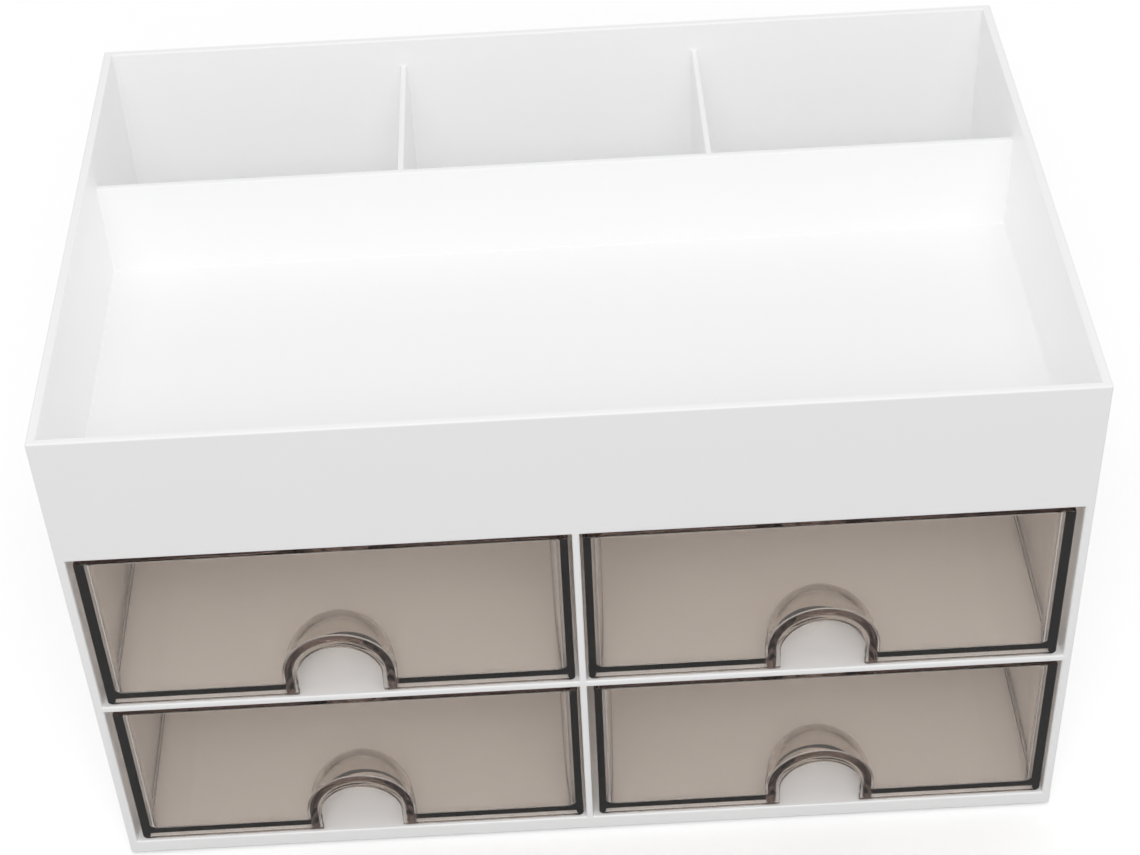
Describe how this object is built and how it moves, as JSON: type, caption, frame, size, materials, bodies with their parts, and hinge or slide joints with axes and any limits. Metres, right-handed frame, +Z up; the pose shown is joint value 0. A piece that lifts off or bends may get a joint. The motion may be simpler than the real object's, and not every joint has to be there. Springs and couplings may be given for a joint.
{
  "type": "desk organizer",
  "caption": "White plastic desk organizer with an open tray and pen wells on top, over smoked clear drawers with finger arches.",
  "frame": {"origin": "middle of the underside, on the surface that the feet stand on", "axes": "+X across the width to the user's right, -Y out of the front where the drawers open, +Z up"},
  "size_m": [0.25, 0.165, 0.1506],
  "materials": {
    "white_plastic": "satin white moulded plastic",
    "smoked_plastic": "polished clear plastic with a warm grey tint",
    "foot_rubber": "soft matt silicone"
  },
  "bodies": {
    "body": {"base_panel": "white_plastic", "left_side_wall": "white_plastic", "right_side_wall": "white_plastic", "back_wall": "white_plastic", "front_band": "white_plastic", "tray_floor": "white_plastic", "middle_shelf": "white_plastic", "lower_bay_divider": "white_plastic", "upper_bay_divider": "white_plastic", "pen_partition": "white_plastic", "left_pen_divider": "white_plastic", "right_pen_divider": "white_plastic", "front_left_foot": "foot_rubber", "front_right_foot": "foot_rubber", "back_left_foot": "foot_rubber", "back_right_foot": "foot_rubber"},
    "upper_left_drawer": {"upper_left_drawer": "smoked_plastic"},
    "upper_right_drawer": {"upper_right_drawer": "smoked_plastic"},
    "lower_left_drawer": {"lower_left_drawer": "smoked_plastic"},
    "lower_right_drawer": {"lower_right_drawer": "smoked_plastic"}
  },
  "joints": [
    {"name": "upper_left_drawer_slide", "type": "slide", "parent": "body", "child": "upper_left_drawer", "axis": [0, -1, 0], "range_m": [0, 0.09]},
    {"name": "upper_right_drawer_slide", "type": "slide", "parent": "body", "child": "upper_right_drawer", "axis": [0, -1, 0], "range_m": [0, 0.09]},
    {"name": "lower_left_drawer_slide", "type": "slide", "parent": "body", "child": "lower_left_drawer", "axis": [0, -1, 0], "range_m": [0, 0.09]},
    {"name": "lower_right_drawer_slide", "type": "slide", "parent": "body", "child": "lower_right_drawer", "axis": [0, -1, 0], "range_m": [0, 0.09]}
  ]
}
